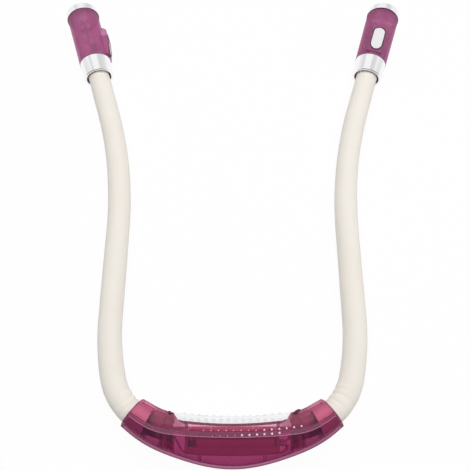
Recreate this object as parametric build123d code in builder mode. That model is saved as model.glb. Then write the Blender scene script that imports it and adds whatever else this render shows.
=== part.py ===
from build123d import *
import math
import os

# Neck reading light: a battery housing that sits behind the neck, two bendable foam-sleeved arms, and a
# lamp head with its own push button on each arm. It lies flat, as on a table.
# Origin: middle of the flat on the housing's underside. +X right, +Y from the housing to the heads, +Z up.
# Lengths in millimetres, angles in degrees.

# Battery cells, two side by side
cell_radius = 5.1
cell_length = 44.5
cell_nub_radius = 1.9
cell_nub_length = 0.8
cell_spacing = 0.1
cell_play = 0.45

# Housing walls and sections
wall = 1.6
mouth_clearance = 0.6
foot_flat_depth = 0.3
middle_width = 25.5
middle_corner = 6.0
quarter_x = 18.4
quarter_y = 2.2
quarter_angle = 12.0
quarter_width = 25.0
quarter_corner = 6.2
quarter_height_share = 0.99
lip_section_x = 39.5
lip_section_y = 7.8
lip_section_angle = 21.5
lip_section_width = 22.4
lip_section_corner = 8.2
lip_height_share = 0.91
root_section_depth = 11.0
root_section_angle = 28.5
root_section_width = 21.2
root_section_corner = 9.3
root_height_share = 0.85
mouth_x = 58.4
mouth_y = 18.05
end_face_angle = 38.0
end_flat = 0.2

# Arm centre line, from the housing mouth to the head: heading at the mouth, then arcs and straights
mouth_angle = 40.0
root_bend_radius = 42.0
mouth_straight = 0.8
shoulder_radius = 37.5
shoulder_turn = 37.0
flank_radius = 160.0
flank_turn = 13.3
side_straight = 58.5
splay_radius = 300.0
splay_turn = 17.4
tip_straight = 31.2

# Foam sleeve and gooseneck core
sleeve_radius = 7.5
core_radius = 3.0
core_bore_radius = 1.6
core_fit = 0.1
flex_gap = 0.8
spread_station = 14.0
lift_station = 95.0
aim_before_head = 18.0

# Arm roots inside the housing
sleeve_insert = 11.0
bulkhead = 1.3
seat_gap = 0.2
anchor_length = 8.0
anchor_width = 12.0
anchor_edge = 1.2
core_overhang = 1.2

# Parting line of the two shells, and the tongue of the inner shell
parting_middle_y = 7.0
parting_side_x = 24.0
parting_side_y = 7.5
lap_middle_y = 3.3
lap_side_x = 16.0
lap_side_y = 4.1
tongue = 0.6
tongue_fit = 0.1

# Recess on the neck side, battery lid and cushion
recess_depth = 1.6
recess_rise = 1.5
recess_end_margin = 0.3
recess_corner_run = 6.9
recess_corner_rise = 5.2
recess_corner_radius = 7.0
recess_side_lean = 2.0
lid_wall = 1.6
lid_fit = 0.2
lid_rib = 1.2
lid_rib_x = 12.0
lid_rib_depth = 2.5
lid_rim = 1.0
lid_rim_depth = 1.9
cushion_gap = 0.3
cushion_half_height = 9.2
cushion_thickness = 4.2
cushion_edge = 1.5

# Battery tray, contacts and wires
spring_space = 4.5
contact_sheet = 0.5
contact_width = 7.0
contact_height = 8.0
leaf_sheet = 0.35
leaf_width = 4.0
leaf_half_span = 2.8
tab_width = 3.2
tab_length = 3.0
tray_end_wall = 1.5
tray_back = 1.8
tray_back_bow = 1.0
tray_fit = 0.15
cradle_lip = 3.0
back_rib_x = 18.5
back_rib = 1.2
back_rib_below_axis = 2.0
wire_radius = 0.6
wire_pitch = 1.45
wire_in_core = 3.0
wire_groove_y = -3.1
wire_groove_width = 3.2
wire_groove_gap = 0.2
wire_tab_gap = 0.05
wire_tab_spread = 0.75
wire_on_tab = 2.3
wire_bend = 2.0
wire_arc_share = 0.45

# Screws that close the housing
screw_beyond_lip = 2.7
screw_height = 6.3
screw_boss_radius = 2.2
screw_shank_radius = 1.0
screw_head_radius = 1.9
screw_head_height = 1.3
screw_grip = 6.0
screw_bite = 5.0
screw_socket_radius = 0.9
screw_socket_depth = 0.7
screw_hole_fit = 0.15

# Lamp head, measured along its axis from the mouth of the collar
collar_length = 13.5
collar_bore = 8.7
collar_mouth_radius = 10.3
collar_rear_radius = 11.2
collar_step = 4.5
collar_lip = 0.6
spigot_radius = 9.5
spigot_fit = 0.1
spigot_end_gap = 0.3
barrel_length = 43.5
barrel_far_reach = 11.4
barrel_inset = 0.1
barrel_wall = 1.5
barrel_back_wall = 1.5
bezel_length = 6.0
bezel_chamfer_run = 0.8
bezel_chamfer_rise = 1.4
bezel_spigot_length = 4.0
bezel_spigot_fit = 0.1
bezel_wall = 0.9
lens_seat_depth = 2.4
lens_seat_step = 0.7
lens_fit = 0.1
lens_thickness = 1.4
lens_crown = 0.6

# Swivel bearing between the arm's ferrule and the head
journal_radius = 4.2
journal_fit = 0.06
journal_beyond = 0.5
flange_radius = 6.2
flange_pocket_fit = 0.25
flange_back_wall = 1.8
flange_pocket_length = 5.2
flange_end_gap = 0.2
ferrule_skirt = 6.0
ferrule_skirt_gap = 0.3
ferrule_grip = 5.0
ferrule_bore_fit = 0.02
ferrule_wire_bore = 2.2
sleeve_in_collar = 4.0

# Push button on its raised boss
button_middle = 26.7
button_length = 17.9
button_width = 8.3
button_gap = 0.3
button_travel = 0.6
button_below_boss = 0.1
button_foot_length = 20.6
button_foot = 0.9
button_foot_drop = 1.4
button_post_radius = 1.6
boss_begin = 15.6
boss_end = 39.8
boss_width = 11.0
boss_root = 9.9
boss_near_height = 11.8
boss_mid_station = 24.0
boss_mid_height = 13.4
boss_top_station = 31.0
boss_top_height = 14.3
boss_slope_run = 2.0

# Circuit board, switch and lamps in the head
board_begin = 17.0
board_end = 46.5
board_half_width = 9.2
board_thickness = 1.2
switch_side = 6.0
switch_height = 3.5
switch_bore_fit = 0.3
lamp_radius = 2.5
lamp_flange_radius = 2.9
lamp_flange = 1.0
lamp_base = 50.0
lamp_length = 8.6
lamp_offset = 4.4
leg_side = 0.5
leg_length = 6.5
reflector_gap = 0.1
reflector_begin = 54.0
reflector_narrow = 2.8
reflector_wide = 3.9
lead_begin = 8.0
lead_end = 22.0
lead_offset = 1.25

# One overrun for every cut that runs past a surface
overrun = 2.0

os.makedirs("parts", exist_ok=True)

# The cells stand one above the other, so they set the housing's height, the height of the arms' axis and
# the radius of the bezels, which rest on the table as the housing does.
cell_height = cell_radius + cell_spacing / 2
bay_half_height = cell_height + cell_radius + tray_fit
middle_height = 2 * (bay_half_height + tray_fit + wall)
axis_height = middle_height / 2 - foot_flat_depth
bezel_radius = axis_height
end_size = 2 * (sleeve_radius + mouth_clearance + wall)
socket_radius = sleeve_radius + flex_gap

# Depths in the housing, from the mouth inwards along the arm
outer_bulkhead = sleeve_insert + seat_gap
anchor_near = outer_bulkhead + bulkhead + seat_gap
anchor_far = anchor_near + anchor_length
inner_bulkhead = anchor_far + seat_gap
core_reach = inner_bulkhead + bulkhead + core_overhang

# Places of the lid, the tray and the cells
floor_y = middle_width / 2 - recess_depth
lid_seat_y = floor_y - lid_wall
cell_y = lid_seat_y - lid_rib_depth - cell_play - cell_radius
bay_half_length = (cell_length + spring_space) / 2
tray_half_length = bay_half_length + contact_sheet + tray_end_wall
lid_half_length = tray_half_length - seat_gap
recess_half_length = lid_half_length + recess_end_margin
lip_x = recess_half_length + recess_corner_run
screw_x = lip_x + screw_beyond_lip
tray_back_y = cell_y - cell_radius - tray_back


def walk(x, y, heading, length, radius):
    """Go along a run of the arm: straight if its radius is zero, and to the left if it is positive."""
    if radius == 0:
        return x + length * math.cos(heading), y + length * math.sin(heading), heading
    turned = heading + length / radius
    return (
        x + radius * (math.sin(turned) - math.sin(heading)),
        y - radius * (math.cos(turned) - math.cos(heading)),
        turned,
    )


arm_runs = [
    (core_reach, root_bend_radius),
    (mouth_straight, 0),
    (shoulder_radius * math.radians(shoulder_turn), shoulder_radius),
    (flank_radius * math.radians(flank_turn), flank_radius),
    (side_straight, 0),
    (splay_radius * math.radians(splay_turn), -splay_radius),
    (tip_straight, 0),
]
arm_start = walk(mouth_x, mouth_y, math.radians(mouth_angle), -core_reach, root_bend_radius)
arm_length = sum(length for length, radius in arm_runs) - core_reach
aim_station = arm_length - aim_before_head


def arm_pose(station):
    """Place and heading of the right arm's centre line, a distance from the housing mouth."""
    x, y, heading = arm_start
    left = station + core_reach
    for length, radius in arm_runs:
        x, y, heading = walk(x, y, heading, min(left, length), radius)
        left = left - min(left, length)
    return walk(x, y, heading, left, 0)


def arm_line(begin, end):
    """Edges of the right arm's centre line between two stations."""
    here = begin
    run_begin = -core_reach
    for length, radius in arm_runs:
        stop = min(end, run_begin + length)
        if stop > here:
            x, y, heading = arm_pose(here)
            if radius == 0:
                Line((x, y), arm_pose(stop)[:2])
            else:
                turn = math.degrees((stop - here) / radius)
                JernArc((x, y), (math.cos(heading), math.sin(heading)), abs(radius), turn)
            here = stop
        run_begin = run_begin + length


def arm_plane(station):
    """Plane across the right arm, its local X pointing up."""
    x, y, heading = arm_pose(station)
    return Plane(
        origin=(x, y, axis_height),
        x_dir=(0, 0, 1),
        z_dir=(math.cos(heading), math.sin(heading), 0),
    )


def across(frame, along):
    """Plane square to a frame's axis, a distance along it."""
    return Plane(origin=frame.origin + frame.z_dir * along, x_dir=frame.x_dir, z_dir=frame.z_dir)


def lengthways(frame):
    """Plane that holds a frame's axis: local X is the frame's X, local Y runs along the axis."""
    return Plane(origin=frame.origin, x_dir=frame.x_dir, z_dir=frame.x_dir.cross(frame.z_dir))


def axis_of(frame):
    return Axis(frame.origin, frame.z_dir)


def keep(piece, name):
    """Label a finished piece and write it to its own file."""
    piece.part.label = name
    export_step(piece.part, f"parts/{name}.step")


def other_side(piece):
    """The same piece for the left arm."""
    with BuildPart() as mirrored:
        mirror(piece.part, about=Plane.YZ)
    return mirrored


# Housing: one crescent form, lofted through rounded sections, serves both shells
def housing_form(inset):
    """Solid of the housing's outline, drawn in on all sides but its open ends."""
    half = [
        (0, 0, 0, middle_width, middle_height, middle_corner),
        (
            quarter_x,
            quarter_y,
            quarter_angle,
            quarter_width,
            middle_height * quarter_height_share,
            quarter_corner,
        ),
        (
            lip_section_x,
            lip_section_y,
            lip_section_angle,
            lip_section_width,
            middle_height * lip_height_share,
            lip_section_corner,
        ),
        (
            *arm_pose(-root_section_depth)[:2],
            root_section_angle,
            root_section_width,
            middle_height * root_height_share,
            root_section_corner,
        ),
        (mouth_x, mouth_y, end_face_angle, end_size, end_size, end_size / 2 - end_flat),
    ]
    left = [(-x, y, -angle, width, height, corner) for x, y, angle, width, height, corner in half[:0:-1]]
    with BuildPart() as form:
        for x, y, angle, width, height, corner in left + half:
            turn = math.radians(angle)
            section = Plane(
                origin=(x, y, axis_height),
                x_dir=(-math.sin(turn), math.cos(turn), 0),
                z_dir=(math.cos(turn), math.sin(turn), 0),
            )
            with BuildSketch(section):
                RectangleRounded(width - 2 * inset, height - 2 * inset, corner - inset)
        loft()
    return form.part


def upright(face, low=-overrun, high=2 * middle_height):
    """Prism on a plan outline, from one height to another."""
    with BuildPart() as prism:
        with BuildSketch(Plane.XY.offset(low)):
            add(face)
        extrude(amount=high - low)
    return prism.part


def parting_curve():
    """Plan line where the shells meet: along the arm's centre at each end, bowed across the middle."""
    inner_x, inner_y, heading = arm_pose(-core_reach)
    Spline(
        (-inner_x, inner_y),
        (-parting_side_x, parting_side_y),
        (0, parting_middle_y),
        (parting_side_x, parting_side_y),
        (inner_x, inner_y),
        tangents=((math.cos(heading), -math.sin(heading)), (math.cos(heading), math.sin(heading))),
    )


def outer_side():
    """Plan of everything on the outer side of the parting line."""
    x, y, heading = arm_pose(-core_reach)
    mouth = math.radians(mouth_angle)
    past = (mouth_x + middle_width * math.cos(mouth), mouth_y + middle_width * math.sin(mouth))
    root_turn = math.degrees(core_reach / root_bend_radius)
    with BuildSketch() as plan:
        with BuildLine():
            parting_curve()
            JernArc((x, y), (math.cos(heading), math.sin(heading)), root_bend_radius, root_turn)
            JernArc((-x, y), (-math.cos(heading), math.sin(heading)), root_bend_radius, -root_turn)
            Line((mouth_x, mouth_y), past)
            Line((-mouth_x, mouth_y), (-past[0], past[1]))
            Line(past, (past[0], -middle_width))
            Line((-past[0], past[1]), (-past[0], -middle_width))
            Line((-past[0], -middle_width), (past[0], -middle_width))
        make_face()
    return plan.sketch


def lap_side():
    """Plan of the strip where the inner shell's tongue runs behind the outer shell."""
    inner_x, inner_y, heading = arm_pose(-core_reach)
    with BuildSketch() as plan:
        with BuildLine():
            parting_curve()
            Spline(
                (-inner_x, inner_y),
                (-lap_side_x, lap_side_y),
                (0, lap_middle_y),
                (lap_side_x, lap_side_y),
                (inner_x, inner_y),
            )
        make_face()
    return plan.sketch


def recess_plan(gap):
    """Plan of the hollow on the neck side, its floor and corners moved out by a gap."""
    floor_end = floor_y + recess_rise - gap
    half = recess_half_length + gap
    lip_end_x = lip_x + gap
    lip_end_y = floor_end + recess_corner_rise
    top = 2 * middle_width
    top_x = lip_end_x + recess_side_lean
    with BuildSketch() as plan:
        with BuildLine():
            ThreePointArc((-half, floor_end), (0, floor_y - gap), (half, floor_end))
            RadiusArc((half, floor_end), (lip_end_x, lip_end_y), -recess_corner_radius)
            RadiusArc((-half, floor_end), (-lip_end_x, lip_end_y), recess_corner_radius)
            Line((lip_end_x, lip_end_y), (top_x, top))
            Line((-lip_end_x, lip_end_y), (-top_x, top))
            Line((-top_x, top), (top_x, top))
        make_face()
    return plan.sketch


def inner_solids():
    """What stands in the hollow: bulkheads, screw bosses, ribs behind the tray and the recess floor."""
    with BuildPart() as solids:
        with BuildSketch(arm_plane(-outer_bulkhead - bulkhead)):
            Rectangle(middle_height, middle_height)
        extrude(amount=bulkhead)
        with BuildSketch(arm_plane(-inner_bulkhead)):
            Rectangle(middle_height, middle_height)
        extrude(amount=-bulkhead)
        mirror(about=Plane.YZ)
        boss_plane = Plane(origin=(0, middle_width, axis_height), x_dir=(1, 0, 0), z_dir=(0, -1, 0))
        with BuildSketch(boss_plane):
            with GridLocations(2 * screw_x, 2 * screw_height, 2, 2):
                Circle(screw_boss_radius)
        extrude(amount=2 * middle_width)
        rib_base = axis_height - back_rib_below_axis
        with BuildSketch(Plane.XY.offset(rib_base)):
            for rib_x in (-back_rib_x, back_rib_x):
                with Locations((rib_x, tray_back_y - tray_fit)):
                    Rectangle(back_rib, middle_width, align=(Align.CENTER, Align.MAX))
        extrude(amount=middle_height)
        with BuildSketch(Plane.XY.offset(-overrun)):
            with Locations((0, lid_seat_y)):
                Rectangle(2 * (lip_x + wall), middle_width, align=(Align.CENTER, Align.MIN))
        extrude(amount=middle_height + 2 * overrun)
    return solids.part


outer_form = housing_form(0)
inner_form = housing_form(wall)

with BuildPart() as hollow:
    add(inner_form)
    add(inner_solids(), mode=Mode.SUBTRACT)

with BuildPart() as bay:
    with BuildSketch(Plane.XY.offset(axis_height - bay_half_height - tray_fit)):
        with Locations((0, tray_back_y - tray_fit)):
            Rectangle(
                2 * (tray_half_length + tray_fit),
                lid_seat_y + tray_fit - tray_back_y + overrun,
                align=(Align.CENTER, Align.MIN),
            )
    extrude(amount=2 * (bay_half_height + tray_fit))

with BuildPart() as casing:
    add(outer_form)
    add(hollow.part, mode=Mode.SUBTRACT)
    add(bay.part, mode=Mode.SUBTRACT)
    add(upright(recess_plan(cushion_gap)), mode=Mode.SUBTRACT)
    # the lid's seat: the neck side is open from lip to lip down to a flat edge
    with BuildSketch(Plane.XY.offset(-overrun)):
        with Locations((0, lid_seat_y)):
            Rectangle(2 * (lid_half_length + lid_fit), middle_width, align=(Align.CENTER, Align.MIN))
    extrude(amount=middle_height + 2 * overrun, mode=Mode.SUBTRACT)
    # the flat that it rests on
    with BuildSketch(Plane.XY):
        Rectangle(2 * middle_width, 2 * middle_width)
    extrude(amount=-overrun, mode=Mode.SUBTRACT)

with BuildPart() as core_holes:
    with BuildLine(Plane.XY.offset(axis_height)):
        arm_line(-core_reach, -sleeve_insert)
    with BuildSketch(arm_plane(-core_reach)):
        Circle(core_radius + core_fit)
    sweep()
    mirror(about=Plane.YZ)

with BuildPart() as sleeve_pockets:
    with BuildLine(Plane.XY.offset(axis_height)):
        arm_line(-outer_bulkhead, overrun)
    with BuildSketch(arm_plane(-outer_bulkhead)):
        Circle(sleeve_radius + mouth_clearance)
    sweep()
    mirror(about=Plane.YZ)

screw_plane = Plane(
    origin=(0, parting_middle_y + screw_grip, axis_height),
    x_dir=(1, 0, 0),
    z_dir=(0, 1, 0),
)

with BuildPart() as screw_holes:
    with BuildSketch(screw_plane):
        with GridLocations(2 * screw_x, 2 * screw_height, 2, 2):
            Circle(screw_head_radius + screw_hole_fit)
    extrude(amount=middle_width)
    with BuildSketch(screw_plane):
        with GridLocations(2 * screw_x, 2 * screw_height, 2, 2):
            Circle(screw_shank_radius + screw_hole_fit)
    extrude(amount=-(screw_grip + screw_bite + screw_hole_fit))

with BuildPart() as lap_space:
    add(housing_form(wall - tongue - tongue_fit))
    add(inner_form, mode=Mode.SUBTRACT)
    add(upright(lap_side()), mode=Mode.INTERSECT)

with BuildPart() as lap_tongue:
    add(housing_form(wall - tongue))
    add(inner_form, mode=Mode.SUBTRACT)
    add(upright(lap_side()), mode=Mode.INTERSECT)
    add(bay.part, mode=Mode.SUBTRACT)

with BuildPart() as outer_shell:
    add(casing.part)
    add(upright(outer_side()), mode=Mode.INTERSECT)
    add(lap_space.part, mode=Mode.SUBTRACT)
    add(core_holes.part, mode=Mode.SUBTRACT)
    add(sleeve_pockets.part, mode=Mode.SUBTRACT)
    add(screw_holes.part, mode=Mode.SUBTRACT)
keep(outer_shell, "outer_shell")

with BuildPart() as inner_shell:
    add(casing.part)
    add(upright(outer_side()), mode=Mode.SUBTRACT)
    add(lap_tongue.part)
    add(core_holes.part, mode=Mode.SUBTRACT)
    add(sleeve_pockets.part, mode=Mode.SUBTRACT)
    add(screw_holes.part, mode=Mode.SUBTRACT)
keep(inner_shell, "inner_shell")

with BuildPart() as housing_screws:
    with BuildSketch(screw_plane):
        with GridLocations(2 * screw_x, 2 * screw_height, 2, 2):
            Circle(screw_shank_radius)
    extrude(amount=-(screw_grip + screw_bite))
    with BuildSketch(screw_plane):
        with GridLocations(2 * screw_x, 2 * screw_height, 2, 2):
            Circle(screw_head_radius)
    extrude(amount=screw_head_height)
    top = screw_plane.offset(screw_head_height)
    with BuildSketch(top):
        with GridLocations(2 * screw_x, 2 * screw_height, 2, 2):
            RegularPolygon(screw_socket_radius, 4)
    extrude(amount=-screw_socket_depth, mode=Mode.SUBTRACT)
keep(housing_screws, "housing_screws")

# Battery lid: a panel as tall as the neck side, with a rim and two ribs that reach in to the cells
with BuildPart() as battery_lid:
    add(outer_form)
    with BuildSketch(Plane.XY.offset(-overrun)):
        with Locations((0, lid_seat_y)):
            Rectangle(2 * lid_half_length, middle_width, align=(Align.CENTER, Align.MIN))
    extrude(amount=middle_height + 2 * overrun, mode=Mode.INTERSECT)
    add(upright(recess_plan(0)), mode=Mode.SUBTRACT)
    rim_length = 2 * (bay_half_length - lid_fit)
    rim_height = 2 * (bay_half_height - lid_fit - tray_fit)
    with BuildSketch(Plane(origin=(0, lid_seat_y, axis_height), x_dir=(1, 0, 0), z_dir=(0, -1, 0))):
        Rectangle(rim_length, rim_height)
        Rectangle(rim_length - 2 * lid_rim, rim_height - 2 * lid_rim, mode=Mode.SUBTRACT)
    extrude(amount=lid_rim_depth)
    with BuildSketch(Plane(origin=(0, lid_seat_y, axis_height), x_dir=(1, 0, 0), z_dir=(0, -1, 0))):
        with Locations((-lid_rib_x, 0), (lid_rib_x, 0)):
            Rectangle(lid_rib, rim_height - 2 * lid_rim)
    extrude(amount=lid_rib_depth)
keep(battery_lid, "battery_lid")

# Cushion on the lid: it fills the recess and stands a little proud of the neck side
with BuildPart() as neck_cushion:
    with BuildSketch(Plane.XY.offset(axis_height - cushion_half_height)):
        add(recess_plan(0))
        with BuildLine():
            front_y = floor_y + cushion_thickness
            front_end_y = floor_y + recess_rise + recess_corner_rise - cushion_gap
            ThreePointArc((-lip_x, front_end_y), (0, front_y), (lip_x, front_end_y))
            Polyline(
                (-lip_x, front_end_y),
                (-lip_x, -middle_width),
                (lip_x, -middle_width),
                (lip_x, front_end_y),
            )
        make_face(mode=Mode.INTERSECT)
    extrude(amount=2 * cushion_half_height)
    front_edges = neck_cushion.faces().sort_by(Axis.Y)[-1].edges()
    fillet(front_edges.filter_by(lambda edge: abs(edge.bounding_box().size.Z) < cushion_edge), cushion_edge)
keep(neck_cushion, "neck_cushion")


def cells_across(x, direction, height=0):
    """Plane square to the cells, its local X along Y, at a height above the arms' axis."""
    return Plane(origin=(x, cell_y, axis_height + height), x_dir=(0, 1, 0), z_dir=(direction, 0, 0))


# Battery tray, open towards the lid
with BuildPart() as battery_tray:
    with BuildSketch(Plane.XY.offset(axis_height - bay_half_height)):
        with BuildLine():
            tray_side_y = tray_back_y + tray_back_bow
            tray_front_y = lid_seat_y - lid_rim_depth - seat_gap
            ThreePointArc(
                (-tray_half_length, tray_side_y),
                (0, tray_back_y),
                (tray_half_length, tray_side_y),
            )
            Polyline(
                (-tray_half_length, tray_side_y),
                (-tray_half_length, tray_front_y),
                (tray_half_length, tray_front_y),
                (tray_half_length, tray_side_y),
            )
        make_face()
    extrude(amount=2 * bay_half_height)
    add(housing_form(wall + tray_fit), mode=Mode.INTERSECT)
    pocket_half_length = bay_half_length + contact_sheet
    with BuildSketch(cells_across(-pocket_half_length, 1)):
        with Locations((0, -cell_height), (0, cell_height)):
            Circle(cell_radius + tray_fit)
        with Locations((-cradle_lip, 0)):
            Rectangle(middle_width, middle_height, align=(Align.MIN, Align.CENTER))
    extrude(amount=2 * pocket_half_length, mode=Mode.SUBTRACT)
    # slots in the right end wall for the two solder tabs
    with BuildSketch(cells_across(bay_half_length, 1)):
        with Locations((0, -cell_height), (0, cell_height)):
            Rectangle(tab_width + 2 * seat_gap, contact_sheet + 2 * seat_gap)
    extrude(amount=middle_width, mode=Mode.SUBTRACT)
    # groove along the back, between the cells, for the left arm's wires
    with BuildSketch(cells_across(-tray_half_length - overrun, 1)):
        with Locations((wire_groove_y - cell_y, 0)):
            Rectangle(middle_width, wire_groove_width, align=(Align.MAX, Align.CENTER))
    extrude(amount=2 * (tray_half_length + overrun), mode=Mode.SUBTRACT)
keep(battery_tray, "battery_tray")


def battery_cell(height, direction):
    """A cell at a height, its positive nub at the end that the direction, 1 or -1, gives."""
    nub_end = direction * bay_half_length
    with BuildPart() as cell:
        with BuildSketch(cells_across(nub_end, -direction, height)):
            Circle(cell_nub_radius)
        extrude(amount=cell_length)
        with BuildSketch(cells_across(nub_end - direction * cell_nub_length, -direction, height)):
            Circle(cell_radius)
        extrude(amount=cell_length - cell_nub_length)
    return cell


keep(battery_cell(cell_height, 1), "upper_battery_cell")
keep(battery_cell(-cell_height, -1), "lower_battery_cell")


def contact_plate(low, high, direction):
    """Sheet against the tray's end wall that the direction gives, between two heights about the axis."""
    face = Plane(
        origin=(direction * bay_half_length, cell_y, axis_height),
        x_dir=(0, direction, 0),
        z_dir=(direction, 0, 0),
    )
    with BuildPart() as plate:
        with BuildSketch(face):
            with Locations(((contact_width / 2 - leaf_half_span) * direction, (low + high) / 2)):
                Rectangle(contact_width, high - low)
        extrude(amount=contact_sheet)
    return plate.part


def leaf_spring(height, direction):
    """Bowed strip from the plate to the flat end of the cell at a height."""
    plate = direction * bay_half_length
    crown = direction * (bay_half_length - spring_space)
    foot = leaf_half_span - leaf_sheet
    with BuildPart() as leaf:
        with BuildSketch(Plane.XY.offset(height - leaf_width / 2)):
            with BuildLine():
                ThreePointArc(
                    (plate, cell_y - leaf_half_span),
                    (crown, cell_y),
                    (plate, cell_y + leaf_half_span),
                )
                ThreePointArc(
                    (plate, cell_y - foot),
                    (crown + direction * leaf_sheet, cell_y),
                    (plate, cell_y + foot),
                )
                Line((plate, cell_y - leaf_half_span), (plate, cell_y - foot))
                Line((plate, cell_y + leaf_half_span), (plate, cell_y + foot))
            make_face()
        extrude(amount=leaf_width)
    return leaf.part


def solder_tab(height):
    """Tongue of the contact sheet through the tray's right end wall."""
    with BuildPart() as tab:
        with BuildSketch(Plane.XY.offset(height - contact_sheet / 2)):
            with Locations((bay_half_length, cell_y)):
                Rectangle(
                    contact_sheet + tray_end_wall + tab_length,
                    tab_width,
                    align=(Align.MIN, Align.CENTER),
                )
        extrude(amount=contact_sheet)
    return tab.part


with BuildPart() as bridge_contact:
    add(contact_plate(-cell_height - contact_height / 2, cell_height + contact_height / 2, -1))
    add(leaf_spring(axis_height + cell_height, -1))
keep(bridge_contact, "bridge_contact")

with BuildPart() as positive_contact:
    add(contact_plate(cell_height - contact_height / 2, cell_height + contact_height / 2, 1))
    add(solder_tab(axis_height + cell_height))
keep(positive_contact, "positive_contact")

with BuildPart() as negative_contact:
    add(contact_plate(-cell_height - contact_height / 2, contact_height / 2 - cell_height, 1))
    add(leaf_spring(axis_height - cell_height, 1))
    add(solder_tab(axis_height - cell_height))
keep(negative_contact, "negative_contact")


# Wires from the goosenecks to the solder tabs. The left pair crosses in the groove of the tray's back.
tab_end = bay_half_length + contact_sheet + tray_end_wall + tab_length
tab_side = cell_height + contact_sheet / 2 + wire_radius + wire_tab_gap


def feed_wire(points):
    """Round wire of straight runs and tangent arcs. Its points are X, Y and height above the arms' axis."""
    places = [Vector(x, y, axis_height + height) for x, y, height in points]
    runs = [after - before for before, after in zip(places, places[1:])]
    radii = []
    for before, after in zip(runs, runs[1:]):
        half_turn = math.radians(before.get_angle(after) / 2)
        radii.append(wire_arc_share * min(before.length, after.length) / math.tan(half_turn))
    with BuildPart() as wire:
        with BuildLine():
            FilletPolyline(*places, radius=radii)
        with BuildSketch(Plane(origin=places[0], z_dir=runs[0])):
            Circle(wire_radius)
        sweep()
    return wire.part


in_core = arm_pose(-core_reach + wire_in_core)
past_core = arm_pose(-core_reach - wire_bend)
groove_y = wire_groove_y - wire_groove_gap - wire_radius

with BuildPart() as right_feed_wires:
    for up in (-1, 1):
        start = up * wire_pitch / 2
        points = [
            (in_core[0], in_core[1], start),
            (past_core[0], past_core[1], start),
            (tab_end + wire_bend, cell_y + wire_tab_spread, up * tab_side),
            (tab_end - wire_on_tab, cell_y + wire_tab_spread, up * tab_side),
        ]
        add(feed_wire(points))
keep(right_feed_wires, "right_feed_wires")

with BuildPart() as left_feed_wires:
    for up in (-1, 1):
        start = up * wire_pitch / 2
        points = [
            (-in_core[0], in_core[1], start),
            (-past_core[0], past_core[1], start),
            (-tab_end, groove_y + wire_bend, start),
            (-tray_half_length - wire_radius, groove_y, start),
            (tray_half_length + wire_bend, groove_y, start),
            (tab_end + wire_bend, groove_y + wire_bend, up * tab_side / 2),
            (tab_end + wire_bend, cell_y - wire_tab_spread, up * tab_side),
            (tab_end - wire_on_tab, cell_y - wire_tab_spread, up * tab_side),
        ]
        add(feed_wire(points))
keep(left_feed_wires, "left_feed_wires")


# Arms: a steel gooseneck in a foam sleeve. Where the arm flexes, one piece ends in a ball and the next
# piece in a cup round it, so that the arm bends there without a gap that shows.
def arm_tube(begin, end, outer, bore, cup=False, ball=False):
    """Tube along the right arm, with a cup at its beginning and a ball at its end if asked."""
    with BuildPart() as tube:
        with BuildLine(Plane.XY.offset(axis_height)):
            arm_line(begin, end)
        with BuildSketch(arm_plane(begin)):
            Circle(outer)
            Circle(bore, mode=Mode.SUBTRACT)
        sweep()
        if ball:
            rim = math.sqrt(sleeve_radius**2 - outer**2)
            crown = math.sqrt(sleeve_radius**2 - bore**2)
            rim_angle = math.degrees(math.atan2(rim, outer))
            crown_angle = math.degrees(math.atan2(crown, bore))
            with BuildSketch(lengthways(arm_plane(end))):
                with BuildLine():
                    CenterArc((0, 0), sleeve_radius, rim_angle, crown_angle - rim_angle)
                    Polyline((bore, crown), (bore, 0), (outer, 0))
                    if rim > 0:
                        Line((outer, 0), (outer, rim))
                make_face()
            revolve(axis=axis_of(arm_plane(end)))
        if cup:
            with Locations(arm_plane(begin).location):
                Sphere(socket_radius, mode=Mode.SUBTRACT)
    return tube


sleeve_bore = core_radius + core_fit
sleeve_end = arm_length + sleeve_in_collar
arm_pieces = [
    ("sleeve_root", arm_tube(-sleeve_insert, spread_station, sleeve_radius, sleeve_bore, ball=True)),
    ("sleeve_lower", arm_tube(spread_station, lift_station, sleeve_radius, sleeve_bore, True, True)),
    ("sleeve_upper", arm_tube(lift_station, aim_station, sleeve_radius, sleeve_bore, True, True)),
    ("gooseneck_root", arm_tube(-core_reach, spread_station, core_radius, core_bore_radius, ball=True)),
    ("gooseneck_lower", arm_tube(spread_station, lift_station, core_radius, core_bore_radius, True, True)),
    ("gooseneck_upper", arm_tube(lift_station, aim_station, core_radius, core_bore_radius, True, True)),
]
core_end = arm_length + ferrule_grip
gooseneck_tip = arm_tube(aim_station, core_end, core_radius, core_bore_radius, cup=True)
arm_pieces.append(("gooseneck_tip", gooseneck_tip))

sleeve_tip = arm_tube(aim_station, sleeve_end, sleeve_radius, sleeve_bore, cup=True)
with BuildPart() as sleeve_tip_bored:
    add(sleeve_tip.part)
    with BuildSketch(arm_plane(sleeve_end + overrun)):
        Circle(journal_radius + core_fit)
    extrude(amount=-(sleeve_in_collar + overrun + ferrule_skirt + ferrule_skirt_gap), mode=Mode.SUBTRACT)
arm_pieces.append(("sleeve_tip", sleeve_tip_bored))

# Black anchor moulded on the gooseneck, trapped between two bulkheads of the housing
with BuildPart() as gooseneck_anchor:
    with BuildLine(Plane.XY.offset(axis_height)):
        arm_line(-anchor_far, -anchor_near)
    with BuildSketch(arm_plane(-anchor_far)):
        RectangleRounded(anchor_width, anchor_width, anchor_edge)
        Circle(core_radius, mode=Mode.SUBTRACT)
    sweep()
arm_pieces.append(("gooseneck_anchor", gooseneck_anchor))

for name, piece in arm_pieces:
    keep(piece, f"right_{name}")
    keep(other_side(piece), f"left_{name}")


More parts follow.
